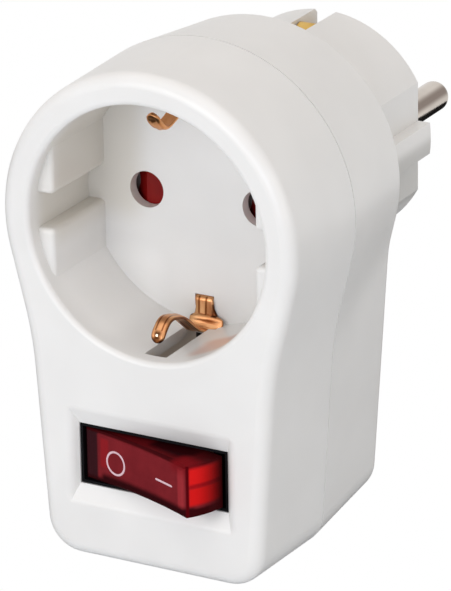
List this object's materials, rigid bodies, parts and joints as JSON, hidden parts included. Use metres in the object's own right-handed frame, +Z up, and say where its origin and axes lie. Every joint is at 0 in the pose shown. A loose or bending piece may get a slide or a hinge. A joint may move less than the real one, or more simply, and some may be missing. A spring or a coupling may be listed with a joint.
{
  "type": "switched plug adapter",
  "caption": "White plug adapter with a side-earth socket above a red lit rocker switch, built as a two-shell casing with pins, earth straps, shutter, contacts and wired switch inside",
  "frame": {"origin": "Middle of the plug's end face, between the two pins", "axes": "+Y out of the plug along its pins, +Z up, +X to the right of someone who faces the socket"},
  "size_m": [0.0496, 0.0814, 0.0779],
  "materials": {
    "white_shell": "satin moulded",
    "screw_steel": "zinc plated",
    "pin_nickel": "bright nickel plate",
    "carrier_plastic": "satin moulded",
    "shutter_red": "satin moulded",
    "spring_steel": "drawn wire",
    "contact_brass": "stamped, bare",
    "clip_copper": "stamped bronze, bare",
    "switch_black": "moulded",
    "rocker_red": "translucent moulded",
    "lamp_glass": "clear",
    "resistor_body": "lacquered",
    "wire_brown": "extruded sheath",
    "wire_black": "extruded sheath"
  },
  "bodies": {
    "casing": {"front_casing": "white_shell", "rear_casing": "white_shell", "casing_screws": "screw_steel", "plug_pin_left": "pin_nickel", "plug_pin_right": "pin_nickel", "contact_carrier": "carrier_plastic", "shutter_spring": "spring_steel", "socket_contact_left": "contact_brass", "socket_contact_right": "contact_brass", "neutral_link": "contact_brass", "feed_lug": "contact_brass", "socket_earth_strap": "clip_copper", "plug_earth_strap": "contact_brass", "earth_post": "contact_brass", "switch_housing": "switch_black", "terminal_feed": "contact_brass", "terminal_load": "contact_brass", "terminal_lamp": "contact_brass", "neon_lamp": "lamp_glass", "lamp_resistor": "resistor_body", "wire_feed": "wire_brown", "wire_outlet": "wire_black", "wire_lamp": "wire_black"},
    "rocker": {"switch_rocker": "rocker_red", "switch_plunger": "switch_black", "plunger_spring": "spring_steel"},
    "lever": {"contact_lever": "contact_brass"},
    "shutter": {"shutter_slide": "shutter_red"}
  },
  "joints": [
    {"name": "rocker_tilt", "type": "hinge", "parent": "casing", "child": "rocker", "pos_m": [0, -0.05462, -0.0368], "axis": [0, 0, 1], "range_deg": [0, 36]},
    {"name": "lever_tilt", "type": "hinge", "parent": "casing", "child": "lever", "pos_m": [0, -0.0451, -0.0368], "axis": [0, 0, 1], "range_deg": [-12, 0]},
    {"name": "shutter_travel", "type": "slide", "parent": "casing", "child": "shutter", "axis": [1, 0, 0], "range_m": [0, 0.006], "stiffness_N_per_m": 100, "springref_m": -0.002, "deforming": ["shutter_spring"]}
  ],
  "couplings": [
    {"joint": "lever_tilt", "follows": "rocker_tilt", "ratio": -0.33333}
  ]
}
